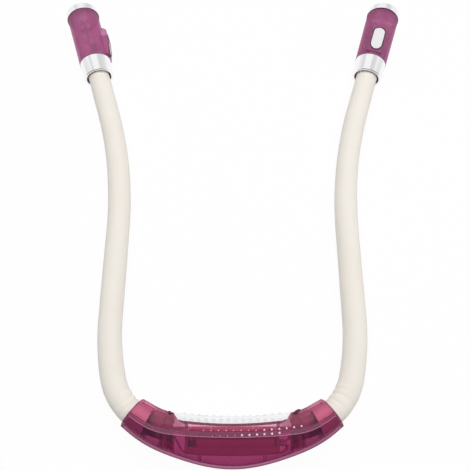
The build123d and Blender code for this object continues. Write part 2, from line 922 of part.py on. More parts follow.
# Lamp heads. A head's frame has its origin at the collar's mouth, its Z along the head towards the lens
# and its X towards the push button.
def head_profile(frame, points):
    """Ring round a head's axis, from points given as radius and distance along the axis."""
    with BuildPart() as ring:
        with BuildSketch(lengthways(frame)):
            with BuildLine():
                Polyline(*points, close=True)
            make_face()
        revolve(axis=axis_of(frame))
    return ring


def slot_prism(frame, length, width, low, high):
    """Round-ended block that stands up from a head's axis, centred on the button."""
    up = Plane(
        origin=frame.origin + frame.z_dir * button_middle + frame.x_dir * low,
        x_dir=frame.z_dir,
        z_dir=frame.x_dir,
    )
    with BuildPart() as prism:
        with BuildSketch(up):
            SlotOverall(length, width)
        extrude(amount=high - low)
    return prism.part


def boss_form(frame, width, drop):
    """Wedge of the button's boss, as wide as asked and its top lowered by a drop."""
    with BuildPart() as wedge:
        with BuildSketch(lengthways(frame)):
            with BuildLine():
                Spline(
                    (boss_near_height - drop, boss_begin),
                    (boss_mid_height - drop, boss_mid_station),
                    (boss_top_height - drop, boss_top_station),
                    (boss_top_height - drop, boss_end - boss_slope_run),
                )
                Polyline(
                    (boss_top_height - drop, boss_end - boss_slope_run),
                    (boss_near_height - drop, boss_end),
                    (boss_root, boss_end),
                    (boss_root, boss_begin),
                    (boss_near_height - drop, boss_begin),
                )
            make_face()
        extrude(amount=width / 2, both=True)
    return wedge.part


barrel_end = collar_length + barrel_length
head_length = barrel_end + bezel_length
bearing_begin = collar_step + spigot_end_gap
pocket_begin = bearing_begin + flange_back_wall
pocket_end = pocket_begin + flange_pocket_length
bearing_end = collar_length + barrel_back_wall
barrel_far_side = bezel_radius - barrel_inset
bezel_bore = barrel_far_reach - barrel_wall - bezel_spigot_fit - bezel_wall
lens_radius = bezel_bore + lens_seat_step - lens_fit
lens_seat = head_length - lens_seat_depth


def collar(frame):
    socket = spigot_radius + spigot_fit
    ring = head_profile(
        frame,
        [
            (collar_bore, 0),
            (collar_mouth_radius, 0),
            (collar_rear_radius, collar_length),
            (socket, collar_length),
            (socket, collar_step),
            (collar_bore, collar_step),
        ],
    )
    with BuildPart() as rounded:
        add(ring.part)
        mouth_edges = [
            edge for edge in rounded.edges().filter_by(GeomType.CIRCLE)
            if frame.to_local_coords(edge.arc_center).Z < collar_lip / 2
        ]
        fillet(mouth_edges, collar_lip)
    return rounded


def barrel(frame):
    """The whole barrel before it is split into its two halves."""
    with BuildPart() as whole:
        with BuildSketch(across(frame, collar_length)):
            Circle(collar_rear_radius)
        with BuildSketch(across(frame, barrel_end)):
            Ellipse(barrel_far_reach, barrel_far_side)
        loft()
        with BuildSketch(across(frame, bearing_begin)):
            Circle(spigot_radius)
        extrude(amount=bearing_end - bearing_begin)
        add(boss_form(frame, boss_width, 0))
        with BuildSketch(across(frame, bearing_end)):
            Circle(collar_rear_radius - barrel_wall)
        with BuildSketch(across(frame, barrel_end)):
            Ellipse(barrel_far_reach - barrel_wall, barrel_far_side - barrel_wall)
        loft(mode=Mode.SUBTRACT)
        with BuildSketch(across(frame, bearing_begin - overrun)):
            Circle(journal_radius + journal_fit)
        extrude(amount=bearing_end - bearing_begin + 2 * overrun, mode=Mode.SUBTRACT)
        with BuildSketch(across(frame, pocket_begin)):
            Circle(flange_radius + flange_pocket_fit)
        extrude(amount=flange_pocket_length, mode=Mode.SUBTRACT)
        gap = 2 * button_gap
        hole = slot_prism(
            frame, button_length + gap, button_width + gap, board_thickness, 2 * boss_top_height
        )
        add(hole, mode=Mode.SUBTRACT)
    return whole


def barrel_half(whole, frame, keep_side):
    seam = Plane(origin=frame.origin, x_dir=frame.z_dir, z_dir=frame.x_dir)
    with BuildPart() as half:
        add(whole.part)
        split(bisect_by=seam, keep=keep_side)
    return half


def bezel(frame):
    outer = barrel_far_reach - barrel_wall - bezel_spigot_fit
    return head_profile(
        frame,
        [
            (bezel_bore, barrel_end - bezel_spigot_length),
            (outer, barrel_end - bezel_spigot_length),
            (outer, barrel_end),
            (bezel_radius, barrel_end),
            (bezel_radius, head_length - bezel_chamfer_rise),
            (bezel_radius - bezel_chamfer_run, head_length),
            (bezel_bore + lens_seat_step, head_length),
            (bezel_bore + lens_seat_step, lens_seat),
            (bezel_bore, lens_seat),
        ],
    )


def lens(frame):
    crown_radius = (lens_radius**2 + lens_crown**2) / (2 * lens_crown)
    top = lens_seat + lens_thickness + lens_crown
    with BuildPart() as disc:
        with BuildSketch(across(frame, lens_seat)):
            Circle(lens_radius)
        extrude(amount=lens_thickness + lens_crown)
        with Locations(across(frame, top - crown_radius).location):
            Sphere(crown_radius, mode=Mode.INTERSECT)
    return disc


def reflector(frame):
    depth = lens_seat - reflector_gap - reflector_begin
    with BuildPart() as plate:
        with BuildSketch(across(frame, reflector_begin)):
            Circle(bezel_bore - reflector_gap)
        extrude(amount=depth)
        for side in (-1, 1):
            axis_plane = Plane(
                origin=frame.origin + frame.y_dir * lamp_offset * side + frame.z_dir * reflector_begin,
                x_dir=frame.x_dir,
                z_dir=frame.z_dir,
            )
            with BuildSketch(axis_plane):
                Circle(reflector_narrow)
            with BuildSketch(axis_plane.offset(depth)):
                Circle(reflector_wide)
            loft(mode=Mode.SUBTRACT)
    return plate


def lamps(frame):
    """Two round-nosed lamps, their legs straddling the circuit board."""
    with BuildPart() as pair:
        for side in (-1, 1):
            lamp_frame = Plane(
                origin=frame.origin + frame.y_dir * lamp_offset * side + frame.z_dir * lamp_base,
                x_dir=frame.x_dir,
                z_dir=frame.z_dir,
            )
            with BuildSketch(lengthways(lamp_frame)):
                with BuildLine():
                    shoulder = lamp_length - lamp_radius
                    Polyline(
                        (0, lamp_length),
                        (0, 0),
                        (lamp_flange_radius, 0),
                        (lamp_flange_radius, lamp_flange),
                        (lamp_radius, lamp_flange),
                        (lamp_radius, shoulder),
                    )
                    CenterArc((0, shoulder), lamp_radius, 0, 90)
                make_face()
            revolve(axis=axis_of(lamp_frame))
            with BuildSketch(lamp_frame):
                leg_offset = (board_thickness + leg_side) / 2
                with Locations((-leg_offset, 0), (leg_offset, 0)):
                    Rectangle(leg_side, leg_side)
            extrude(amount=-leg_length)
    return pair


def circuit_board(frame):
    with BuildPart() as board:
        with BuildSketch(across(frame, board_begin)):
            Rectangle(board_thickness, 2 * board_half_width)
        extrude(amount=board_end - board_begin)
    return board


def switch(frame):
    """Tactile switch body under the button, open for the button's post."""
    up = Plane(
        origin=frame.origin + frame.z_dir * button_middle + frame.x_dir * (board_thickness / 2),
        x_dir=frame.z_dir,
        z_dir=frame.x_dir,
    )
    with BuildPart() as body:
        with BuildSketch(up):
            Rectangle(switch_side, switch_side)
        extrude(amount=switch_height)
        with BuildSketch(up.offset(switch_height)):
            Circle(button_post_radius + switch_bore_fit)
        extrude(amount=-(switch_height - board_thickness), mode=Mode.SUBTRACT)
    return body


def push_button(frame):
    foot_top = collar_rear_radius - barrel_wall - button_foot_drop
    post_end = board_thickness / 2 + board_thickness + button_travel + switch_bore_fit
    with BuildPart() as button:
        add(boss_form(frame, button_width, button_below_boss))
        add(slot_prism(frame, button_length, button_width, 0, 2 * boss_top_height), mode=Mode.INTERSECT)
        add(slot_prism(frame, button_length, button_width, foot_top, boss_root))
        add(slot_prism(frame, button_foot_length, button_width, foot_top - button_foot, foot_top))
        up = Plane(
            origin=frame.origin + frame.z_dir * button_middle + frame.x_dir * (foot_top - button_foot),
            x_dir=frame.z_dir,
            z_dir=frame.x_dir,
        )
        with BuildSketch(up):
            Circle(button_post_radius)
        extrude(amount=-(foot_top - button_foot - post_end))
    return button


def lead_wires(frame):
    """Two leads from the gooseneck's bore to the circuit board, one on each of its faces."""
    with BuildPart() as leads:
        with BuildSketch(across(frame, lead_begin)):
            with Locations((-lead_offset, 0), (lead_offset, 0)):
                Circle(wire_radius)
        extrude(amount=lead_end - lead_begin)
    return leads


def ferrule(frame):
    """Turned end of the gooseneck: its flange turns in the head's bearing."""
    grip = core_radius + ferrule_bore_fit
    return head_profile(
        frame,
        [
            (grip, -ferrule_skirt),
            (journal_radius, -ferrule_skirt),
            (journal_radius, pocket_begin + flange_end_gap),
            (flange_radius, pocket_begin + flange_end_gap),
            (flange_radius, pocket_end - flange_end_gap),
            (journal_radius, pocket_end - flange_end_gap),
            (journal_radius, bearing_end + journal_beyond),
            (ferrule_wire_bore, bearing_end + journal_beyond),
            (ferrule_wire_bore, ferrule_grip),
            (grip, ferrule_grip),
        ],
    )


# The right head's button faces up; the left head is turned so that its button faces the other arm
mouth_right = arm_plane(arm_length)
mouth_left = Plane(
    origin=(-mouth_right.origin.X, mouth_right.origin.Y, axis_height),
    x_dir=(mouth_right.z_dir.Y, mouth_right.z_dir.X, 0),
    z_dir=(-mouth_right.z_dir.X, mouth_right.z_dir.Y, 0),
)

for side, frame in (("right", mouth_right), ("left", mouth_left)):
    whole_barrel = barrel(frame)
    keep(collar(frame), f"{side}_collar")
    keep(barrel_half(whole_barrel, frame, Keep.TOP), f"{side}_barrel_button_half")
    keep(barrel_half(whole_barrel, frame, Keep.BOTTOM), f"{side}_barrel_plain_half")
    keep(bezel(frame), f"{side}_bezel")
    keep(lens(frame), f"{side}_lens")
    keep(reflector(frame), f"{side}_reflector")
    keep(lamps(frame), f"{side}_lamps")
    keep(circuit_board(frame), f"{side}_circuit_board")
    keep(switch(frame), f"{side}_switch")
    keep(push_button(frame), f"{side}_push_button")
    keep(lead_wires(frame), f"{side}_lead_wires")
    keep(ferrule(frame), f"{side}_ferrule")
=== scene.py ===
import math

import bmesh
import bpy
from mathutils import Matrix, Vector
from mathutils.bvhtree import BVHTree


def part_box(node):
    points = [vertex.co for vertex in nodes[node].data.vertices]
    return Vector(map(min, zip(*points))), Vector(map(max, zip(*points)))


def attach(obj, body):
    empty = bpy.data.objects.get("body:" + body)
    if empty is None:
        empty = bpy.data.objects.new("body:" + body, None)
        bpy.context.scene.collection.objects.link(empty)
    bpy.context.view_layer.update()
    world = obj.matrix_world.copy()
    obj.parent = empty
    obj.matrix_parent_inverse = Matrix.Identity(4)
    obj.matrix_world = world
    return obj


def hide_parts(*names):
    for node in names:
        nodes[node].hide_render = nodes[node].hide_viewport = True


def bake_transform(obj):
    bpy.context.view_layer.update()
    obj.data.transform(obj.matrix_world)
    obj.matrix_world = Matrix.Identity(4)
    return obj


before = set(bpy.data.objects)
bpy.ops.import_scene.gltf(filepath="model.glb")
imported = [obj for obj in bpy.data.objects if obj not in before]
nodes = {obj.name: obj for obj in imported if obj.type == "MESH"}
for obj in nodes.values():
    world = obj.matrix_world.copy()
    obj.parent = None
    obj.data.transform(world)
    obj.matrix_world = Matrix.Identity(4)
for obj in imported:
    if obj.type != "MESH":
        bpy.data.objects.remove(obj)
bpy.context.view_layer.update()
scene = bpy.context.scene

# Camera: the light lies on a table and is seen from above and behind the battery housing, 68 degrees
# below the horizon, with a lens a little longer than normal.
CAMERA_PLACE = (0.00161, -0.0170, 0.37615)
CAMERA_BELOW_HORIZON = math.radians(68)
CAMERA_LENS = 45.96
CAMERA_SENSOR = 36
CAMERA_NEAR, CAMERA_FAR = 0.01, 20
camera_data = bpy.data.cameras.new("photo_camera")
camera_data.lens = CAMERA_LENS
camera_data.sensor_width = CAMERA_SENSOR
camera_data.clip_start = CAMERA_NEAR
camera_data.clip_end = CAMERA_FAR
camera = bpy.data.objects.new("photo_camera", camera_data)
camera.location = CAMERA_PLACE
camera.rotation_euler = (math.pi / 2 - CAMERA_BELOW_HORIZON, 0, 0)
scene.collection.objects.link(camera)
scene.camera = camera
scene.view_settings.view_transform = "Standard"

# Table: a plain white sheet on which the light lies. The camera and shiny pieces see it glow an even
# white, so that its edge fades into the room; for every other ray it is a dull white board.
FLOOR_HALF = 1.5
FLOOR_DROP = 0.00015
FLOOR_GREY = 0.88
FLOOR_GLOW_SHARE = 0.96


def make_material(name, colour, **sockets):
    """A material with one Principled shader. Sockets are set by name, with _ for a space."""
    material = bpy.data.materials.new(name)
    material.use_nodes = True
    material.diffuse_color = (*colour, 1)
    shader = material.node_tree.nodes["Principled BSDF"]
    shader.inputs["Base Color"].default_value = (*colour, 1)
    for socket, value in sockets.items():
        shader.inputs[socket.replace("_", " ")].default_value = value
    return material


def add_node(owner, kind, **values):
    """A node for a material or the world. A name that the node has as a property is set, and any other is
    one of its sockets."""
    node = owner.node_tree.nodes.new(kind)
    for name, value in values.items():
        if hasattr(node, name):
            setattr(node, name, value)
        else:
            node.inputs[name.replace("_", " ")].default_value = value
    return node


def socket_of(sockets, key):
    """A socket by its number, or by its name among those in use."""
    if isinstance(key, int):
        return sockets[key]
    return next(item for item in sockets if item.enabled and item.name == key)


def link(owner, source, output, target, socket):
    owner.node_tree.links.new(socket_of(source.outputs, output), socket_of(target.inputs, socket))


def shader_of(material):
    return material.node_tree.nodes["Principled BSDF"]


def show(material, node, output):
    """Makes a node's output the material's surface."""
    link(material, node, output, material.node_tree.nodes["Material Output"], "Surface")


floor_mesh = bpy.data.meshes.new("floor")
floor_corners = [
    (-FLOOR_HALF, -FLOOR_HALF, -FLOOR_DROP),
    (FLOOR_HALF, -FLOOR_HALF, -FLOOR_DROP),
    (FLOOR_HALF, FLOOR_HALF, -FLOOR_DROP),
    (-FLOOR_HALF, FLOOR_HALF, -FLOOR_DROP),
]
floor_mesh.from_pydata(floor_corners, [], [(0, 1, 2, 3)])
floor = bpy.data.objects.new("floor", floor_mesh)
scene.collection.objects.link(floor)
floor_white = make_material("table_white", (FLOOR_GREY, FLOOR_GREY, FLOOR_GREY), Roughness=0.9)
glow = add_node(floor_white, "ShaderNodeEmission", Color=(1, 1, 1, 1), Strength=1.0)
floor_rays = add_node(floor_white, "ShaderNodeLightPath")
seen = add_node(floor_white, "ShaderNodeMath", operation="MAXIMUM")
seen_through = add_node(floor_white, "ShaderNodeMath", operation="MAXIMUM")
glow_share = add_node(floor_white, "ShaderNodeMath", operation="MULTIPLY")
glow_share.inputs[1].default_value = FLOOR_GLOW_SHARE
floor_mix = add_node(floor_white, "ShaderNodeMixShader")
link(floor_white, floor_rays, "Is Camera Ray", seen, 0)
link(floor_white, floor_rays, "Is Glossy Ray", seen, 1)
link(floor_white, seen, 0, seen_through, 0)
link(floor_white, floor_rays, "Is Transmission Ray", seen_through, 1)
link(floor_white, seen_through, 0, glow_share, 0)
link(floor_white, glow_share, 0, floor_mix, 0)
link(floor_white, shader_of(floor_white), "BSDF", floor_mix, 1)
link(floor_white, glow, "Emission", floor_mix, 2)
show(floor_white, floor_mix, "Shader")
floor_mesh.materials.append(floor_white)

# Studio: one broad soft box over the table, a weaker one at each side, and a pale room. What shines sees
# the room's white far wall, its darker near side, where the photographer stands, and grey gaps between
# the white screens at the sides.
ROOM_LIGHT = (0.30, 0.30, 0.306, 1)
WALL_STOPS = ((0.53, (0.26, 0.26, 0.28)), (0.68, (0.98, 0.98, 0.98)))
SCREEN_STOPS = (
    (0.0, 1.0),
    (0.16, 1.0),
    (0.24, 0.72),
    (0.33, 1.0),
    (0.56, 1.0),
    (0.66, 0.72),
    (0.78, 0.76),
    (0.86, 1.0),
    (1.0, 1.0),
)
STUDIO_AIM = (0.0, 0.12, 0.0)
SOFT_BOXES = (
    ("top_box", (0.10, 0.35, 1.05), 1.10, 9.4),
    ("left_box", (-0.95, 0.05, 0.45), 0.30, 0.6),
    ("right_box", (0.90, -0.10, 0.40), 0.30, 0.9),
)
SOFT_BOX_DEPTH = 0.80


def grey(share):
    return (share, share, share)


def add_ramp(owner, *stops):
    """A colour ramp through stops, each a place and a colour."""
    ramp = add_node(owner, "ShaderNodeValToRGB")
    elements = ramp.color_ramp.elements
    for element, (place, colour) in ((elements[0], stops[0]), (elements[1], stops[-1])):
        element.position = place
        element.color = (*colour, 1)
    for place, colour in stops[1:-1]:
        elements.new(place).color = (*colour, 1)
    return ramp


world = bpy.data.worlds.new("pale_room")
world.use_nodes = True
room_rays = add_node(world, "ShaderNodeLightPath")
room_way = add_node(world, "ShaderNodeTexCoord")
room_axes = add_node(world, "ShaderNodeSeparateXYZ")
far_wall = add_ramp(world, *WALL_STOPS)
screens = add_ramp(world, *((place, grey(share)) for place, share in SCREEN_STOPS))
to_unit = add_node(world, "ShaderNodeVectorMath", operation="MULTIPLY_ADD")
to_unit.inputs[1].default_value = grey(0.5)
to_unit.inputs[2].default_value = grey(0.5)
mirrored = add_node(world, "ShaderNodeMix", data_type="RGBA", blend_type="MULTIPLY", Factor=1.0)
shown = add_node(world, "ShaderNodeMix", data_type="RGBA", A=ROOM_LIGHT)
seen_white = add_node(world, "ShaderNodeMix", data_type="RGBA", B=(1, 1, 1, 1))
for source, output, target, socket in (
    (room_way, "Generated", to_unit, 0),
    (to_unit, 0, room_axes, 0),
    (room_axes, "Y", far_wall, "Fac"),
    (room_axes, "X", screens, "Fac"),
    (far_wall, "Color", mirrored, "A"),
    (screens, "Color", mirrored, "B"),
    (mirrored, "Result", shown, "B"),
    (room_rays, "Is Glossy Ray", shown, "Factor"),
    (shown, "Result", seen_white, "A"),
    (room_rays, "Is Camera Ray", seen_white, "Factor"),
    (seen_white, "Result", world.node_tree.nodes["Background"], "Color"),
):
    link(world, source, output, target, socket)
scene.world = world
for box_name, box_place, box_width, box_power in SOFT_BOXES:
    lamp = bpy.data.lights.new(box_name, "AREA")
    lamp.shape = "RECTANGLE"
    lamp.size = box_width
    lamp.size_y = SOFT_BOX_DEPTH
    lamp.energy = box_power
    soft_box = bpy.data.objects.new(box_name, lamp)
    soft_box.location = box_place
    soft_box.rotation_euler = (Vector(STUDIO_AIM) - Vector(box_place)).to_track_quat("-Z", "Y").to_euler()
    soft_box.visible_glossy = False
    scene.collection.objects.link(soft_box)

# Battery tray: a maroon plastic moulding, open towards the neck, which cradles the two cells and is
# trapped between the housing shells. The curve of its back follows the outer shell.


def object_noise(material, scale, detail):
    """Noise on the piece's Object coordinates, in cells per metre."""
    place = add_node(material, "ShaderNodeTexCoord")
    noise = add_node(material, "ShaderNodeTexNoise", Scale=scale, Detail=detail)
    link(material, place, "Object", noise, "Vector")
    return noise


def mottle(material, scale, detail, dark, light):
    """Colour that drifts from dark to light with a noise."""
    ramp = add_ramp(material, (0, dark), (1, light))
    link(material, object_noise(material, scale, detail), "Fac", ramp, "Fac")
    link(material, ramp, "Color", shader_of(material), "Base Color")


def roughen(material, scale, detail, strength, distance):
    """Fine bumps from a noise, distance metres high."""
    bump = add_node(material, "ShaderNodeBump", Strength=strength, Distance=distance)
    link(material, object_noise(material, scale, detail), "Fac", bump, "Height")
    link(material, bump, "Normal", shader_of(material), "Normal")


def dress(material, *names):
    """Gives CAD nodes, by name, a material."""
    for name in names:
        slots = nodes[name].data.materials
        slots.clear()
        slots.append(material)


tray_maroon = make_material("tray_maroon", (0.60, 0.27, 0.35), Roughness=0.5)
mottle(tray_maroon, 120, 3, (0.56, 0.25, 0.32), (0.64, 0.30, 0.38))
roughen(tray_maroon, 1500, 2, 0.1, 0.0001)
dress(tray_maroon, "battery_tray")

# Battery cells: two AAA cells in a plain plastic jacket, one above the other. They lie loose in the tray,
# held by its contacts and by the lid.
cell_jacket = make_material("cell_jacket", (0.66, 0.32, 0.42), Roughness=0.5)
mottle(cell_jacket, 80, 3, (0.62, 0.30, 0.38), (0.70, 0.35, 0.45))
dress(cell_jacket, "upper_battery_cell", "lower_battery_cell")

# Battery contacts: leaves of spring steel with a bright nickel plating, pressed against the end walls of
# the tray. One bridges both cells, and the other two carry the wires on their tabs.
contact_nickel = make_material("contact_nickel", (0.66, 0.63, 0.58), Metallic=1.0, Roughness=0.25)
roughen(contact_nickel, 700, 2, 0.08, 0.0001)
dress(contact_nickel, "bridge_contact", "positive_contact", "negative_contact")

# Wires: pairs of thin copper wire in a smooth rose sleeve, from the contacts' tabs into the goosenecks,
# and out of the ferrules to the boards in the lamp heads. Their ends are soldered.
wire_rose = make_material("wire_rose", (0.92, 0.52, 0.66), Roughness=0.5)
roughen(wire_rose, 1800, 2, 0.1, 0.0001)
dress(wire_rose, "left_feed_wires", "right_feed_wires", "left_lead_wires", "right_lead_wires")

# Anchors: black nylon blocks moulded round the goosenecks' ends and trapped by bulkheads in the housing,
# with a maroon end towards the cells. Each head's switch is of the same black nylon.
SIDES = ((-1, "left"), (1, "right"))
ANCHOR_BLACK = (0.02, 0.018, 0.03)
ANCHOR_MAROON = (0.30, 0.10, 0.15)
MAROON_END, BLACK_BEGIN = 0.0425, 0.0445
anchor_black = make_material("anchor_black", ANCHOR_BLACK, Roughness=0.4)
block_place = add_node(anchor_black, "ShaderNodeTexCoord")
block_axes = add_node(anchor_black, "ShaderNodeSeparateXYZ")
block_side = add_node(anchor_black, "ShaderNodeMath", operation="ABSOLUTE")
block_step = add_node(anchor_black, "ShaderNodeMapRange", From_Min=MAROON_END, From_Max=BLACK_BEGIN)
block_tone = add_ramp(anchor_black, (0, ANCHOR_MAROON), (1, ANCHOR_BLACK))
link(anchor_black, block_place, "Object", block_axes, 0)
link(anchor_black, block_axes, "X", block_side, 0)
link(anchor_black, block_side, 0, block_step, "Value")
link(anchor_black, block_step, "Result", block_tone, "Fac")
link(anchor_black, block_tone, "Color", shader_of(anchor_black), "Base Color")
roughen(anchor_black, 1300, 2, 0.15, 0.0001)
for side, word in SIDES:
    dress(anchor_black, f"{word}_gooseneck_anchor", f"{word}_switch")

# Goosenecks: tubes of wound steel wire that stay as they are bent, one in each arm. Each ends in a brass
# ferrule, turned to shape and pressed on, round which the lamp head turns.
gooseneck_steel = make_material("gooseneck_steel", (0.34, 0.34, 0.36), Metallic=1.0, Roughness=0.35)
roughen(gooseneck_steel, 900, 1, 0.2, 0.0002)
turned_brass = make_material("turned_brass", (0.60, 0.44, 0.18), Metallic=1.0, Roughness=0.28)
roughen(turned_brass, 1600, 1, 0.1, 0.0001)
for side, word in SIDES:
    dress(turned_brass, f"{word}_ferrule")
    for part_word in ("root", "lower", "upper", "tip"):
        dress(gooseneck_steel, f"{word}_gooseneck_{part_word}")

# Foam sleeves: a cream foam tube over each gooseneck, pushed into the housing at one end and under the
# collar of the lamp head at the other. It creases on its inner side where it leaves the housing, and it
# is made here in three lengths.
AXIS_HEIGHT = (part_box("right_bezel")[0][2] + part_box("right_bezel")[1][2]) / 2
ARM_MOUTH = (0.0584, 0.01805)
ARM_MOUTH_HEADING = math.radians(40)
INSERT_BEND, ROOT_BEND, LOWER_BEND, UPPER_BEND = 0.042, 0.0375, 0.160, 0.300
ARM_RUNS = (
    (0.0008, 0),
    (ROOT_BEND * math.radians(37), ROOT_BEND),
    (LOWER_BEND * math.radians(13.3), LOWER_BEND),
    (0.0585, 0),
    (UPPER_BEND * math.radians(17.4), -UPPER_BEND),
    (0.0312, 0),
)
ARM_LENGTH = sum(length for length, radius in ARM_RUNS)
SLEEVE_RADIUS = 0.0075
SLEEVE_SQUEEZE = 0.00004
SLEEVE_INSERT = 0.011
SLEEVE_END = ARM_LENGTH + 0.004
SLEEVE_STEP = 0.0006
SLEEVE_SIDES = 64
BARE_BEGIN, BARE_END = 0.0012, ARM_LENGTH - 0.001
CREASES = ((0.0045, 0.9), (0.0090, 1.3), (0.0140, 0.7))
CREASE_WIDTH, CREASE_DEPTH, CREASE_LEAN, CREASE_FADE = 0.0007, 0.00055, 0.0016, 1.4
PUCKER_PLACE, PUCKER_SPREAD, PUCKER_RATE, PUCKER_DEPTH = 0.011, 0.012, 830, 0.00006
PUCKER_SIDE_SHIFT, PUCKER_TWIST = 1.7, 0.6
WAVE_RATE, WAVE_LOBES, WAVE_DEPTH = 95, 2, 0.00005
SLOW_WAVE_RATE, SLOW_WAVE_SHARE = 41, 0.6
SPREAD_PLACE, LIFT_PLACE, AIM_PLACE = 0.014, 0.095, ARM_LENGTH - 0.018
SPREAD_REACH, LIFT_REACH, AIM_REACH = 0.012, 0.032, 0.015
FIRST_CUT, SECOND_CUT = 0.056, 0.165


def step_along(x, y, heading, length, radius):
    """Place and heading at the end of a run, which is straight where its radius is 0."""
    if radius == 0:
        return x + length * math.cos(heading), y + length * math.sin(heading), heading
    turned = heading + length / radius
    return (
        x + radius * (math.sin(turned) - math.sin(heading)),
        y - radius * (math.cos(turned) - math.cos(heading)),
        turned,
    )


def arm_pose(station):
    """Place and heading of the right arm's centre line, a distance from the housing's mouth."""
    x, y, heading = *ARM_MOUTH, ARM_MOUTH_HEADING
    if station < 0:
        return step_along(x, y, heading, station, INSERT_BEND)
    remaining = station
    for length, radius in ARM_RUNS:
        x, y, heading = step_along(x, y, heading, min(remaining, length), radius)
        remaining -= min(remaining, length)
    return step_along(x, y, heading, remaining, 0)


def arm_frame(station, side):
    """Centre of an arm there, the way it runs, and the way to its outer side."""
    x, y, heading = arm_pose(station)
    centre = Vector((side * x, y, AXIS_HEIGHT))
    forward = Vector((side * math.cos(heading), math.sin(heading), 0))
    outward = Vector((side * math.sin(heading), -math.cos(heading), 0))
    return centre, forward, outward


def foam_radius(station, angle, side):
    """Radius of the foam there: creases and puckers near the housing, soft waves along the tube."""
    if not BARE_BEGIN < station < BARE_END:
        return SLEEVE_RADIUS - SLEEVE_SQUEEZE
    near = math.exp(-(((station - PUCKER_PLACE) / PUCKER_SPREAD) ** 2))
    shift = PUCKER_SIDE_SHIFT * side + PUCKER_TWIST * math.cos(angle)
    pucker = near * math.sin(station * PUCKER_RATE + shift)
    wave = math.sin(station * WAVE_RATE + WAVE_LOBES * angle + side)
    wave += SLOW_WAVE_SHARE * math.sin(station * SLOW_WAVE_RATE - angle)
    inside = ((1 - math.cos(angle)) / 2) ** CREASE_FADE
    crease = 0
    for place, share in CREASES:
        off = station - place - CREASE_LEAN * side * share * math.sin(angle)
        crease += share * math.exp(-((off / CREASE_WIDTH) ** 2))
    grown = PUCKER_DEPTH * pucker + WAVE_DEPTH * wave - CREASE_DEPTH * inside * crease
    return SLEEVE_RADIUS - SLEEVE_SQUEEZE + grown


def skin_rings(mesh, rings, closed=False):
    """Faces between rings of corners. The two ends are shut, or joined to each other."""
    pairs = list(zip(rings, rings[1:]))
    if closed:
        pairs.append((rings[-1], rings[0]))
    for before, after in pairs:
        for corner in range(len(before)):
            following = (corner + 1) % len(before)
            mesh.faces.new((before[corner], before[following], after[following], after[corner]))
    if not closed:
        mesh.faces.new(rings[0])
        mesh.faces.new(reversed(rings[-1]))
    bmesh.ops.recalc_face_normals(mesh, faces=mesh.faces)


def piece_from(mesh, name, material):
    """Turns a worked mesh into a piece with one material."""
    data = bpy.data.meshes.new(name)
    mesh.to_mesh(data)
    mesh.free()
    data.materials.append(material)
    piece = bpy.data.objects.new(name, data)
    scene.collection.objects.link(piece)
    return piece


def sleeve_piece(name, begin, end, side, material):
    """One length of the foam tube, its rings square to the arm and its ends cut sharp."""
    count = round((end - begin) / SLEEVE_STEP)
    mesh = bmesh.new()
    rings = []
    for index in range(count + 1):
        station = begin + (end - begin) * index / count
        centre, forward, outward = arm_frame(station, side)
        ring = []
        for corner in range(SLEEVE_SIDES):
            angle = 2 * math.pi * corner / SLEEVE_SIDES
            radius = foam_radius(station, angle, side)
            over = Vector((0, 0, radius * math.sin(angle)))
            ring.append(mesh.verts.new(centre + outward * (radius * math.cos(angle)) + over))
        rings.append(ring)
    skin_rings(mesh, rings)
    for face in mesh.faces:
        face.smooth = True
    for ring in (rings[0], rings[-1]):
        for corner in range(SLEEVE_SIDES):
            mesh.edges.get((ring[corner - 1], ring[corner])).smooth = False
    return piece_from(mesh, name, material)


cream_foam = make_material(
    "cream_foam",
    (0.89, 0.84, 0.765),
    Roughness=0.8,
    Sheen_Weight=0.08,
    Sheen_Roughness=0.5,
    Specular_IOR_Level=0.25,
)
mottle(cream_foam, 60, 5, (0.86, 0.81, 0.725), (0.91, 0.865, 0.80))
roughen(cream_foam, 2600, 2, 0.18, 0.0002)
for side, word in SIDES:
    lower, upper, tip = f"{word}_arm_lower", f"{word}_arm_upper", f"{word}_arm_tip"
    for part_word, begin, end, near_body, far_body, bend, reach, covered in (
        ("root", -SLEEVE_INSERT, FIRST_CUT, "housing", lower, SPREAD_PLACE, SPREAD_REACH, ("root",)),
        ("middle", FIRST_CUT, SECOND_CUT, lower, upper, LIFT_PLACE, LIFT_REACH, ("lower",)),
        ("end", SECOND_CUT, SLEEVE_END, upper, tip, AIM_PLACE, AIM_REACH, ("upper", "tip")),
    ):
        foam = sleeve_piece(f"{word}_foam_{part_word}", begin, end, side, cream_foam)
        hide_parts(*[f"{word}_sleeve_{cover}" for cover in covered])
        bend_start = arm_frame(bend - reach, side)[0]
        bend_end = arm_frame(bend + reach, side)[0]
        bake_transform(foam)

# Housing shells: two thin see-through mouldings in magenta plastic, the outer one deeper and more
# purple. They lap along the middle of the housing and trap the tray and the anchors between them. The
# inner one holds more pigment at the shoulders of the recess for the cushion.
SLANT_POWER = 1.6
GRAZING_POWER = 5.0
SHOULDER_PIGMENT = (
    (0.0, 0.18),
    (0.0260, 0.18),
    (0.0285, 0.50),
    (0.0430, 0.46),
    (0.0470, 0.11),
    (1.0, 0.11),
)


